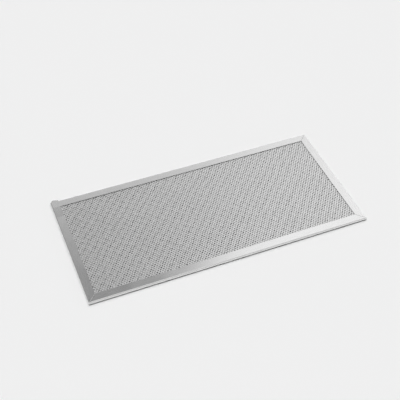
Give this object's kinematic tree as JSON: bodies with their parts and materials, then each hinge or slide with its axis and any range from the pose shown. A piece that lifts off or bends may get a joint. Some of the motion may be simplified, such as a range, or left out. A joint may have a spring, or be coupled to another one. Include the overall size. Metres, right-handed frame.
{
  "type": "cooker hood grease filter",
  "caption": "Flat rectangular grease filter for a cooker hood: crossed layers of expanded aluminium mesh held in a thin frame of folded aluminium channel with mitred corners.",
  "frame": {"origin": "middle of the frame's underside, which the filter lies on", "axes": "+X along the long side, +Y towards the long side with the closing tab, +Z from the rear face to the front face"},
  "size_m": [0.5, 0.2388, 0.0055],
  "materials": {
    "frame": "satin mill finish",
    "mesh": "bright expanded foil"
  },
  "bodies": {
    "root": {"frame": "frame", "front_mesh": "mesh", "inner_mesh_1": "mesh", "inner_mesh_2": "mesh", "inner_mesh_3": "mesh", "rear_mesh": "mesh"}
  },
  "joints": []
}
